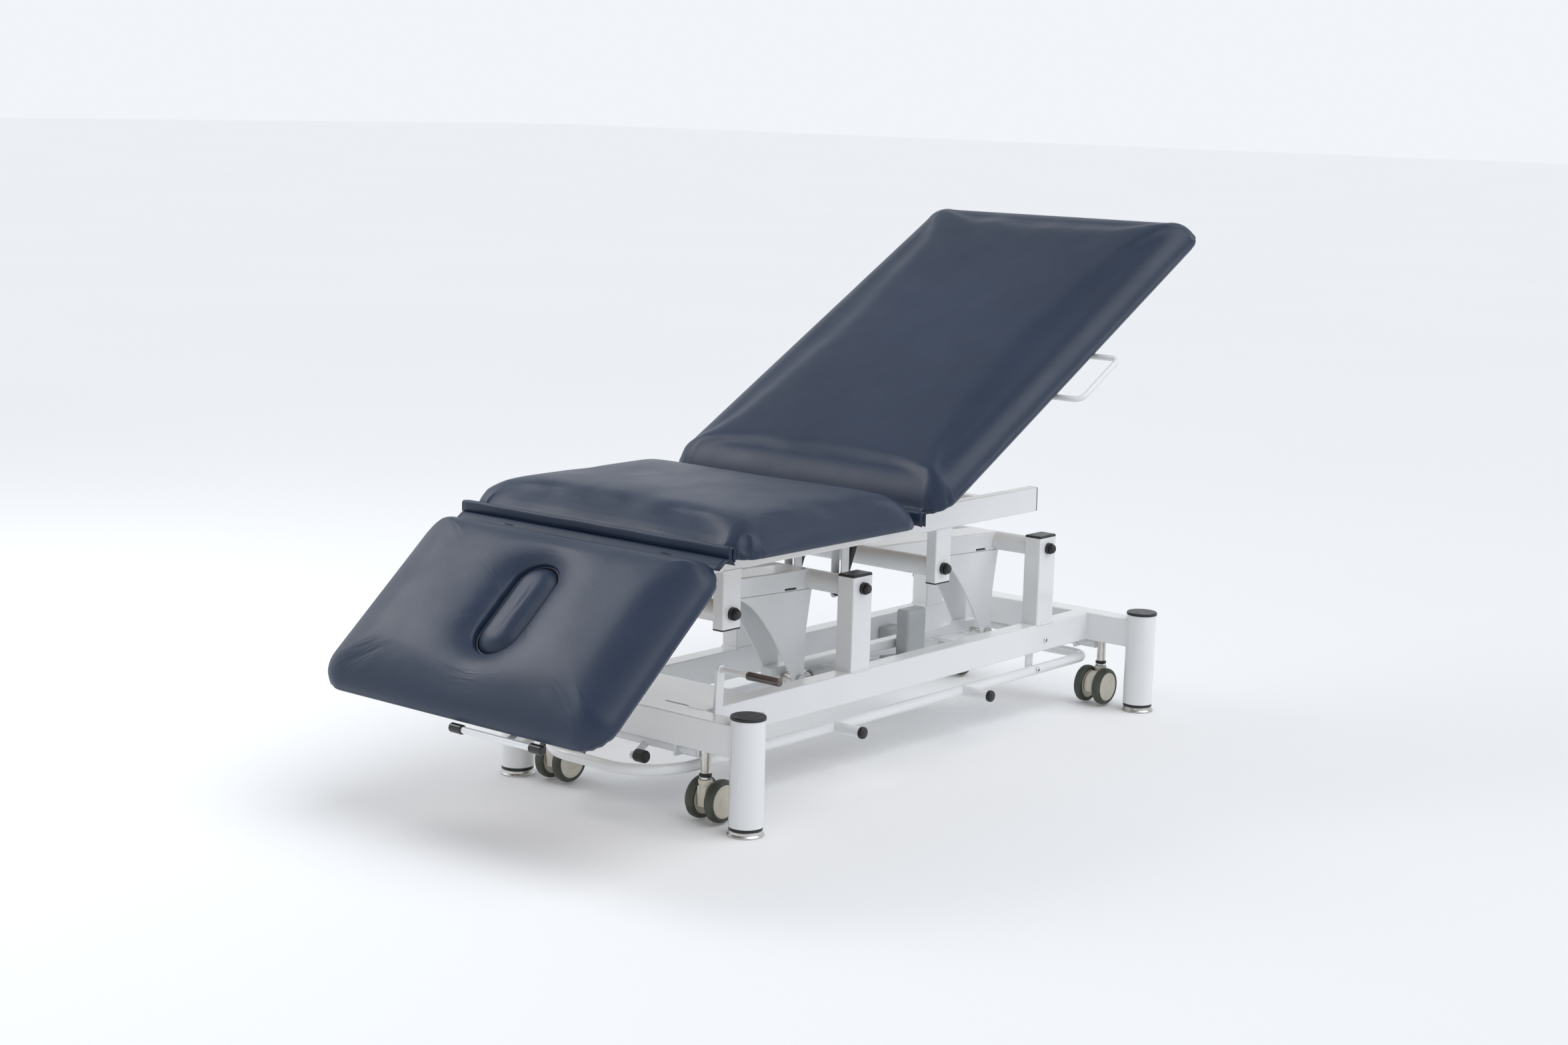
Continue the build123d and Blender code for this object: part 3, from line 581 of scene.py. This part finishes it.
def simulate(cushions):
    """Inflates every cushion at once with cloth under pressure, and keeps a softly capped part of the move."""
    scene = bpy.context.scene
    for thing, cap, pinned_below in cushions:
        group = thing.vertex_groups.new(name="fixed")
        held = [v.index for v in thing.data.vertices if v.co.z < pinned_below]
        group.add(held, 1.0, "REPLACE")
        cloth = thing.modifiers.new("cover", "CLOTH")
        settings = cloth.settings
        settings.quality = 4
        settings.mass = 0.4
        settings.tension_stiffness = 30
        settings.compression_stiffness = 10
        settings.shear_stiffness = 12
        settings.bending_stiffness = 30
        settings.use_pressure = True
        settings.uniform_pressure_force = 4.0
        settings.effector_weights.gravity = 0.0
        settings.vertex_group_mass = "fixed"
        cloth.collision_settings.use_collision = False
        cloth.point_cache.frame_start = 1
        cloth.point_cache.frame_end = 20
    for step in range(1, 21):
        scene.frame_set(step)
    graph = bpy.context.evaluated_depsgraph_get()
    for thing, cap, _ in cushions:
        moved = thing.evaluated_get(graph).to_mesh()
        places = [v.co.copy() for v in moved.vertices]
        thing.evaluated_get(graph).to_mesh_clear()
        for vertex, place in zip(thing.data.vertices, places):
            move = place - vertex.co
            if move.length > 1e-7:
                vertex.co += move * (cap * tanh(move.length / cap) / move.length)
    for thing, _, _ in cushions:
        thing.modifiers.clear()
        thing.vertex_groups.clear()
    scene.frame_set(1)


def pleats(thing, body, seed, strength):
    """Gathers the cover where it turns under the board at each corner."""
    for vertex in thing.data.vertices:
        x, y, z = vertex.co
        rise = z - body.z0
        if rise > 0.034 or body.depth(x, y) > FLANGE:
            continue
        cx = body.x0 + body.radius if x < (body.x0 + body.x1) / 2 else body.x1 - body.radius
        cy = body.half_w - body.radius if y > 0 else body.radius - body.half_w
        dx = x - cx
        dy = y - cy
        if (x < cx) != (cx < (body.x0 + body.x1) / 2) or (y > cy) != (cy > 0):
            continue
        angle = atan2(abs(dy), abs(dx))
        mask = sin(2 * angle) ** 0.5
        wobble = noise.noise(Vector((angle * 2.3, seed * 3.7 + cx * 9 + cy * 5, 0.0)))
        wave = abs(sin(angle * 9 + 1.4 * wobble)) ** 0.6 - 0.62
        fade = (1 - max(rise, 0) / 0.034) ** 1.4
        if rise < 0.0015:
            fade *= 1 - 0.5 * min(body.depth(x, y) / FLANGE, 1)
        size = hypot(dx, dy)
        amount = strength * wave * fade * mask
        vertex.co.x += dx / size * amount
        vertex.co.y += dy / size * amount
        vertex.co.z -= 0.55 * strength * max(wave, 0) * fade * mask * (1 if rise < 0.012 else 0)


def subdivide(thing, levels=1):
    modifier = thing.modifiers.new("smooth", "SUBSURF")
    modifier.levels = levels
    modifier.render_levels = levels
    final = bpy.data.meshes.new_from_object(thing.evaluated_get(bpy.context.evaluated_depsgraph_get()))
    thing.modifiers.clear()
    thing.data = final
    for polygon in final.polygons:
        polygon.use_smooth = True


def loose(name, body):
    """Cushion object still in its section's own frame, not yet riding on a body."""
    mesh = bpy.data.meshes.new(name)
    mesh.from_pydata([tuple(v) for v in body.verts], [], body.faces)
    mesh.materials.append(VINYL)
    thing = bpy.data.objects.new(name, mesh)
    bpy.context.scene.collection.objects.link(thing)
    return thing


seat_shape = plain_pad(SEAT_X, SEAT_Z, 0.053, 0.016, (0.080, 0.033), 0.0010)
long_shape = plain_pad(LONG_X, LONG_Z, 0.054, 0.004, (0.055, 0.040), 0.0004)
head_shape = holed_pad(HEAD_X, HEAD_Z, 0.054, 0.006, (0.100, 0.040), PLUG_X, PLUG_HALF_W + 0.002)
plug_shape = plug_pad(PLUG_X, PLUG_HALF_W, PLUG_Z, 0.030, 0.011, (0.032, 0.015))
seat_pad = loose("seat_cushion", seat_shape)
long_pad = loose("long_cushion", long_shape)
head_pad = loose("head_cushion", head_shape)
face_plug = loose("face_plug_cushion", plug_shape)
simulate([
    (seat_pad, 0.009, SEAT_Z + 0.009),
    (long_pad, 0.006, LONG_Z + 0.009),
    (head_pad, 0.004, HEAD_Z + 0.030),
    (face_plug, 0.003, HEAD_Z + 0.020),
])
sink(head_pad, HEAD_Z, 0.050, PLUG_X, PLUG_HALF_W, 0.019)
pleats(seat_pad, seat_shape, 1, 0.0036)
pleats(long_pad, long_shape, 2, 0.0030)
pleats(head_pad, head_shape, 3, 0.0030)
for thing, body, place, end, amount, z0 in (
        (seat_pad, "upper_frame", SEAT, SEAT_X[0], 0.014, SEAT_Z),
        (seat_pad, "upper_frame", SEAT, SEAT_X[1], -0.014, SEAT_Z),
        (long_pad, "long_section", LONG, LONG_X[0], 0.030, LONG_Z),
        (head_pad, "head_section", HEAD, HEAD_X[1], -0.010, HEAD_Z)):
    points = [v.co.copy() for v in thing.data.vertices]
    lean(points, end, 0.12, amount, z0)
    for vertex, point in zip(thing.data.vertices, points):
        vertex.co = point
for thing, body, place, node in (
        (seat_pad, "upper_frame", SEAT, "seat_pad"),
        (long_pad, "long_section", LONG, "long_pad"),
        (head_pad, "head_section", HEAD, "head_pad"),
        (face_plug, "face_plug", HEAD, "face_plug")):
    subdivide(thing)
    thing.data.transform(place)
    outward(thing)
    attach(thing, body)
    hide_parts(node)

# Piping round the plug.
WELT_RISE = 0.024
WELT_R = 0.0021
plug_rim = [plug_shape.point(i, j, 0.0006) for i, j in plug_shape.rim()]
welt = tube([(x, y, PLUG_Z + WELT_RISE) for x, y in plug_rim], WELT_R, sides=8, closed=True)
piece("face_plug_piping", *welt, LINING, "face_plug", "vinyl", HEAD)


# =====================================================================
# Gap covers: a strip of vinyl folded over between the seat and each section
# =====================================================================
FOLD_HALF_W = 0.334


def fold(name, x_in, x_out, z_top, z_in, z_out):
    """Inverted U of doubled vinyl across the couch."""
    radius = abs(x_out - x_in) / 2
    middle = (x_in + x_out) / 2
    line = [(x_in, z_in), (x_in, (z_in + z_top - radius) / 2)]
    turn = range(0, 181, 15)
    side = 1 if x_in > x_out else -1
    line += [(middle + side * radius * cos(radians(a)), z_top - radius + radius * sin(radians(a))) for a in turn]
    line += [(x_out, (z_out + z_top - radius) / 2), (x_out, z_out)]
    thick = 0.0012
    stations = [-FOLD_HALF_W + 2 * FOLD_HALF_W * i / 60 for i in range(61)]
    verts = []
    for y in stations:
        sag = 0.0008 * noise.noise(Vector((x_in * 50, y * 14, 0)))
        end = max(0, 1 - (FOLD_HALF_W - abs(y)) / 0.012)
        for x, z in line:
            outer = Vector((x, y, z)) + Vector((sag, 0, sag - 0.0015 * end))
            verts.append(outer)
        for x, z in reversed(line):
            shrink = (radius - thick) / radius
            verts.append(Vector((middle + (x - middle) * shrink + sag, y, z - thick * 0.8 + sag - 0.0015 * end)))
    count = 2 * len(line)
    faces = [tuple(range(count)), tuple(reversed(range(len(verts) - count, len(verts))))]
    for i in range(len(stations) - 1):
        for k in range(count):
            n = (k + 1) % count
            faces.append((i * count + k, i * count + n, (i + 1) * count + n, (i + 1) * count + k))
    return outward(piece(name, verts, faces, VINYL, "upper_frame", "vinyl"))


head_fold = fold("gap_cover_head", -0.7525, -0.7640, 0.5410, 0.5155, 0.5215)
long_fold = fold("gap_cover_long", -0.2195, -0.2075, 0.5410, 0.514, 0.514)
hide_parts("gap_strips")
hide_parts("gap_strips")

# The head cushion's cover runs on over the ends of its frame tubes as a flap.
FLAP_HALF_W = 0.330
FLAP = [(-0.020, 0.0150), (-0.010, 0.0136), (-0.002, 0.0128), (0.006, 0.0120), (0.0120, 0.0102), (0.0146, 0.0055),
        (0.0148, -0.0020), (0.0142, -0.0090)]
flap_verts = []
flap_rows = [-FLAP_HALF_W + 2 * FLAP_HALF_W * i / 50 for i in range(51)]
for y in flap_rows:
    for x, z in FLAP:
        flap_verts.append(Vector((x, y, z)))
    for x, z in reversed(FLAP):
        flap_verts.append(Vector((x - 0.0006, y, z - 0.0010)))
flap_faces = [tuple(range(2 * len(FLAP))), tuple(reversed(range(len(flap_verts) - 2 * len(FLAP), len(flap_verts))))]
for i in range(len(flap_rows) - 1):
    for k in range(2 * len(FLAP)):
        n = (k + 1) % (2 * len(FLAP))
        a = i * 2 * len(FLAP)
        b = a + 2 * len(FLAP)
        flap_faces.append((a + k, a + n, b + n, b + k))
outward(piece("head_cover_flap", flap_verts, flap_faces, VINYL, "head_section", "vinyl", HEAD))


# =====================================================================
# Undersides: staples along the turned-under cover of each section
# =====================================================================
STAPLE_INSET = 0.0145
STAPLE_PITCH = 0.034


def staples(shape):
    """Staples through the turned-under edge, across the line of the edge."""
    parts = []
    for along, low, high in (("X", shape.x0 + 0.07, shape.x1 - 0.07), ("Y", 0.07 - shape.half_w, shape.half_w - 0.07)):
        count = int((high - low) / STAPLE_PITCH)
        for k in range(count + 1):
            s = low + (high - low) * k / count
            for side in (-1, 1):
                if along == "X":
                    x, y = s, side * (shape.half_w - STAPLE_INSET)
                else:
                    x, y = (shape.x1 - STAPLE_INSET if side > 0 else shape.x0 + STAPLE_INSET), s
                half = 0.0055
                dx, dy = (half, 0) if along == "X" else (0, half)
                z = shape.z0 - 0.0002
                path = [(x - dx, y - dy, z + 0.002), (x - dx, y - dy, z),
                        (x + dx, y + dy, z), (x + dx, y + dy, z + 0.002)]
                parts.append(tube(path, 0.0006, sides=5))
    return merged(parts)


for label, shape, place, body in (("seat", seat_shape, SEAT, "upper_frame"), ("long", long_shape, LONG, "long_section"),
                                  ("head", head_shape, HEAD, "head_section")):
    piece(f"{label}_staples", *staples(shape), ZINC, body, "steel", place)

# =====================================================================
# Casters
# =====================================================================
TYRE_PROFILE = [(0.0305, -0.0085), (0.0335, -0.0098), (0.0368, -0.0092), (0.0390, -0.0068), (0.0400, -0.0025),
                (0.0400, 0.0025), (0.0390, 0.0068), (0.0368, 0.0092), (0.0335, 0.0098), (0.0305, 0.0085)]
CAP_PROFILE = [(0.0315, -0.0080), (0.0318, 0.0070), (0.0306, 0.0092), (0.0270, 0.0100), (0.0262, 0.0094),
               (0.0140, 0.0106), (0.0128, 0.0100), (0.0120, 0.0106), (0.0070, 0.0112), (0.0010, 0.0114)]


def ring_lathe(profile, centre, sides=64):
    """Closed ring turned about Y from a closed profile."""
    verts, faces = lathe(profile, centre, "Y", sides)
    faces = faces[:-2]
    last = len(profile) - 1
    for k in range(sides):
        n = (k + 1) % sides
        faces.append((last * sides + k, last * sides + n, n, k))
    return verts, faces


def fork_parts(x, y, ax):
    """Hood between the wheels and the socket that turns on the stem."""
    toward = 1 if ax > x else -1
    hood = [(ax + toward * px, AXLE_Z + pz) for px, pz in arc(0, 0, 0.0300, -24, 118, 26)]
    hood += [(ax + toward * -0.0285, AXLE_Z + 0.0290), (ax + toward * -0.0300, AXLE_Z + 0.0180),
             (ax + toward * -0.0270, AXLE_Z - 0.0100), (ax + toward * -0.0180, AXLE_Z - 0.0125),
             (ax + toward * 0.0150, AXLE_Z - 0.0125)]
    parts = [slab(hood, y - 0.0108, y + 0.0108, 0.0018)]
    socket = [(0.0085, 0.046), (0.0115, 0.048), (0.0120, 0.052), (0.0120, 0.0745), (0.0132, 0.0760),
              (0.0132, 0.0815), (0.0124, 0.0832), (0.0080, 0.0836)]
    parts.append(lathe(socket, (x, y, 0), "Z", 40))
    for side in (-1, 1):
        rib = [(0.0100, 0.0), (0.0100, 0.0016), (0.0085, 0.0022), (0.0045, 0.0022)]
        spun = [(r, side * (0.0108 + a)) for r, a in rib]
        parts.append(lathe(spun, (ax, y, AXLE_Z), "Y", 32))
    return merged(parts)


for tag, sx, sy in (("a", -1, -1), ("b", 1, -1), ("c", -1, 1), ("d", 1, 1)):
    x = sx * LEG[0]
    y = sy * STEM_Y
    ax = x - sx * TRAIL
    fork = outward(piece(f"caster_{tag}_fork", *fork_parts(x, y, ax), IVORY, f"caster_fork_{tag}", "ivory_plastic"))
    fork.data.set_sharp_from_angle(angle=radians(40))
    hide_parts(f"caster_fork_{tag}")
    tyres = []
    caps = []
    for side in (-1, 1):
        centre = (ax, y + side * 0.023, AXLE_Z)
        tyres.append(ring_lathe(TYRE_PROFILE, centre))
        caps.append(lathe([(r, side * a) for r, a in CAP_PROFILE], centre, "Y", 64))
    wheel = outward(piece(f"caster_{tag}_tyres", *merged(tyres), TYRE, f"caster_wheels_{tag}", "wheel"))
    hub = outward(piece(f"caster_{tag}_hub_caps", *merged(caps), IVORY, f"caster_wheels_{tag}", "ivory_plastic"))
    hub.data.set_sharp_from_angle(angle=radians(30))
    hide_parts(f"caster_wheels_{tag}")

stems = []
seals = []
nuts = []
for sx in (-1, 1):
    for sy in (-1, 1):
        centre = (sx * LEG[0], sy * STEM_Y, 0)
        stems.append(lathe([(0.0080, 0.094), (STEM_R, 0.0952), (STEM_R, 0.183), (0.0085, 0.184)], centre, "Z", 40))
        stems.append(lathe([(0.0045, 0.060), (0.0045, 0.086)], centre, "Z", 20))
        seals.append(lathe([(0.0098, 0.0885), (0.0118, 0.0895), (0.0120, 0.0925), (0.0105, 0.0942)], centre, "Z", 40))
        nuts.append(lathe([(0.0100, 0.0838), (0.0112, 0.0846), (0.0112, 0.0880), (0.0100, 0.0888)], centre, "Z", 6))
stem = piece("caster_stem_bars", *merged(stems), CHROME, "caster_stems", "chrome")
stem.data.set_sharp_from_angle(angle=radians(40))
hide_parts("caster_stems")
piece("caster_stem_seals", *merged(seals), BLACK, "caster_stems", "black_plastic")
piece("caster_stem_nuts", *merged(nuts), ZINC, "caster_stems", "steel", smooth=False)


# =====================================================================
# Frame: weld beads, screws
# =====================================================================
def line(a, b, step=0.0016):
    """Points from a to b, close enough together to carry the scales of a weld."""
    a, b = Vector(a), Vector(b)
    count = max(2, int((b - a).length / step))
    return [a.lerp(b, i / count) for i in range(count + 1)]


def rectangle_bead(x0, x1, y0, y1, z):
    corners = [(x0, y0, z), (x1, y0, z), (x1, y1, z), (x0, y1, z)]
    path = []
    for k in range(4):
        path += line(corners[k], corners[(k + 1) % 4])[:-1]
    return tube(path, 0.0021, sides=8, closed=True, ripple=0.16)


base_beads = []
for ux in UPRIGHT_X:
    for sy in (-1, 1):
        y0, y1 = sorted((sy * RAIL_Y[0], sy * RAIL_Y[1]))
        base_beads.append(rectangle_bead(ux - 0.030, ux + 0.030, y0, y1, RAIL_Z[1]))
reach = sqrt(LEG_R ** 2 - BEAM_HALF ** 2)
for sx in (-1, 1):
    for sy in (-1, 1):
        cx = sx * LEG[0]
        cy = sy * LEG[1]
        start = atan2(-sy * reach, -BEAM_HALF)
        end = atan2(-sy * reach, BEAM_HALF)
        path = line((cx - BEAM_HALF, cy - sy * reach, RAIL_Z[0]), (cx - BEAM_HALF, cy - sy * reach, RAIL_Z[1]))
        path += [(cx + LEG_R * cos(start + (end - start) * i / 30), cy + LEG_R * sin(start + (end - start) * i / 30),
                  RAIL_Z[1]) for i in range(1, 30)]
        path += line((cx + BEAM_HALF, cy - sy * reach, RAIL_Z[1]), (cx + BEAM_HALF, cy - sy * reach, RAIL_Z[0]))
        base_beads.append(tube(path, 0.0021, sides=8, ripple=0.16))
        bx = sx * (LEG[0] - BEAM_HALF)
        for ry in RAIL_Y:
            path = line((bx, sy * ry, RAIL_Z[0]), (bx, sy * ry, RAIL_Z[1]))
            base_beads.append(tube(path, 0.0020, sides=8, ripple=0.16))
piece("base_weld_beads", *merged(base_beads), WHITE, "base", "white_paint")

upper_beads = []
for hx in HANGER_X:
    for sy in (-1, 1):
        y0, y1 = sorted((sy * TOP_RAIL_Y[0], sy * TOP_RAIL_Y[1]))
        upper_beads.append(rectangle_bead(hx - 0.025, hx + 0.025, y0 + 0.001, y1 - 0.001, TOP_RAIL_Z[0]))
piece("upper_weld_beads", *merged(upper_beads), WHITE, "upper_frame", "white_paint")


# Stainless glides under the leg posts, flared at the foot.
feet = []
for sx in (-1, 1):
    for sy in (-1, 1):
        centre = (sx * LEG[0], sy * LEG[1], 0)
        feet.append(lathe([(0.0290, 0.0), (0.0338, 0.0004), (0.0345, 0.0016), (0.0338, 0.0030), (0.0318, 0.0048),
                           (0.0309, 0.0070), (0.0309, 0.0100), (0.0300, 0.0110)], centre, "Z", 64))
glides = outward(piece("leg_glides_flared", *merged(feet), STEEL, "base", "steel"))
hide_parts("leg_glides")

# Black end caps on the foot bar's pegs.
PEG_X = (-0.245, 0.180)
ends = []
for px in PEG_X:
    ends.append(lathe([(0.0100, -0.2255), (0.0116, -0.2262), (0.0119, -0.2275), (0.0119, -0.2320), (0.0108, -0.2345),
                       (0.0080, -0.2358), (0.0030, -0.2364), (0.0004, -0.2365)], (px, 0, 0.101), "Y", 40))
outward(piece("foot_peg_caps", *merged(ends), BLACK, "foot_bar", "black_plastic"))


def screw(x, z, y, size=0.0062):
    """Round cross-recessed screw head on a face that looks along -Y: the dome, and a black cross laid on it as painted
    shade for the recess.
    """
    dome = lathe([(0.0004, y - 0.0040), (size * 0.45, y - 0.0037), (size * 0.80, y - 0.0026), (size, y - 0.0010),
                  (size, y + 0.0006)], (x, 0, z), "Y", 28)
    # the cross is a thin black slab standing proud of the dome: painted shade in place of a real recess
    cross = []
    for dx, dz in ((size * 0.48, 0.0006), (0.0006, size * 0.48)):
        outline = [(x - dx, z - dz), (x + dx, z - dz), (x + dx, z + dz), (x - dx, z + dz)]
        cross.append(slab(outline, y - 0.00415, y - 0.0030, 0.0001))
    return dome, merged(cross)


SCREWS = [(0.470, 0.164, -RAIL_Y[1]), (-0.470, 0.164, -RAIL_Y[1])]
BAR_SCREWS = [(0.442, 0.1035, -0.1683), (-0.545, 0.1035, -0.1683)]
for label, places, body in (("rail", SCREWS, "base"), ("foot_bar", BAR_SCREWS, "foot_bar")):
    heads = []
    recess_shades = []
    for x, z, y in places:
        head, cross = screw(x, z, y)
        heads.append(head)
        recess_shades.append(cross)
    outward(piece(f"{label}_screws", *merged(heads), ZINC, body, "steel"))
    # black cross slabs: painted shade for the screw recesses, which are not cut into the zinc heads
    outward(piece(f"{label}_screw_recess_shade", *merged(recess_shades), BLACK, body, "steel", smooth=False))

# Flat tabs that hang from the rails beside the foot bar and guide it.
tabs = []
for x in (0.442, -0.545):
    for sy in (-1, 1):
        outline = [(x - 0.012, 0.1415), (x - 0.012, 0.092), (x - 0.008, 0.087), (x + 0.008, 0.087), (x + 0.012, 0.092),
                   (x + 0.012, 0.1415)]
        y0, y1 = sorted((sy * 0.1472, sy * 0.1432))
        tabs.append(slab(outline, y0, y1, 0.0006))
outward(piece("foot_bar_tabs", *merged(tabs), WHITE, "base", "white_paint", smooth=False))

# =====================================================================
# Camera, floor, light
# =====================================================================
CAMERA_AT = Vector((-3.9505, -3.0761, 1.3080))
YAW = radians(39.509)
PITCH = radians(9.742)
ROLL = radians(1.559)
LENS = 57.54

forward = Vector((cos(PITCH) * cos(YAW), cos(PITCH) * sin(YAW), -sin(PITCH)))
right = Vector((sin(YAW), -cos(YAW), 0))
up = right.cross(forward)
side = right * cos(ROLL) + up * sin(ROLL)
top = up * cos(ROLL) - right * sin(ROLL)
camera_data = bpy.data.cameras.new("camera")
camera_data.lens = LENS
camera_data.sensor_width = 36.0
camera = bpy.data.objects.new("camera", camera_data)
bpy.context.scene.collection.objects.link(camera)
pose = Matrix((side, top, -forward)).transposed().to_4x4()
pose.translation = CAMERA_AT
camera.matrix_world = pose
bpy.context.scene.camera = camera

floor_mesh = bpy.data.meshes.new("floor")
floor_mesh.from_pydata([(-60, -60, 0), (60, -60, 0), (60, 60, 0), (-60, 60, 0)], [], [(0, 1, 2, 3)])
FLOOR = surface("floor", (0.890, 0.898, 0.910), (0.900, 0.908, 0.920), (0.85, 0.9), patch=0.5, grain=60.0,
                height=0.00001, Emission_Color=(1, 1, 1, 1), Emission_Strength=0.04)
floor_mesh.materials.append(FLOOR)
floor = bpy.data.objects.new("floor", floor_mesh)
bpy.context.scene.collection.objects.link(floor)

bpy.context.scene.view_settings.view_transform = "Standard"
world = bpy.data.worlds.new("studio")
bpy.context.scene.world = world
world.use_nodes = True
sky = world.node_tree
direction = sky.nodes.new("ShaderNodeTexCoord")
facing = sky.nodes.new("ShaderNodeVectorMath")
facing.operation = "DOT_PRODUCT"
facing.inputs[1].default_value = (0.0, -0.15, 1.0)
sky.links.new(direction.outputs["Generated"], facing.inputs[0])
tint = sky.nodes.new("ShaderNodeValToRGB")
ramp = tint.color_ramp
ramp.elements[0].position = 0.20
ramp.elements[0].color = (0.885, 0.913, 0.947, 1)
ramp.elements[1].position = 0.92
ramp.elements[1].color = (0.30, 0.32, 0.35, 1)
ramp.elements.new(0.60).color = (0.50, 0.53, 0.57, 1)
sky.links.new(facing.outputs["Value"], tint.inputs["Fac"])
sky.links.new(tint.outputs["Color"], sky.nodes["Background"].inputs["Color"])
sky.nodes["Background"].inputs["Strength"].default_value = 1.0


def softbox(name, at, target, size, energy):
    data = bpy.data.lights.new(name, "AREA")
    data.shape = "RECTANGLE"
    data.size, data.size_y = size
    data.energy = energy
    lamp = bpy.data.objects.new(name, data)
    bpy.context.scene.collection.objects.link(lamp)
    lamp.location = at
    lamp.rotation_euler = (Vector(target) - Vector(at)).to_track_quat("-Z", "Y").to_euler()


key = bpy.data.lights.new("key", "SUN")
key.energy = 1.5
key.angle = radians(60)
key_lamp = bpy.data.objects.new("key", key)
bpy.context.scene.collection.objects.link(key_lamp)
key_lamp.rotation_euler = Vector((-0.15, 0.50, -0.85)).to_track_quat("-Z", "Y").to_euler()
softbox("left_box", (-1.45, 2.35, 2.5), (-0.95, 0.5, 0.5), (1.7, 1.5), 30)
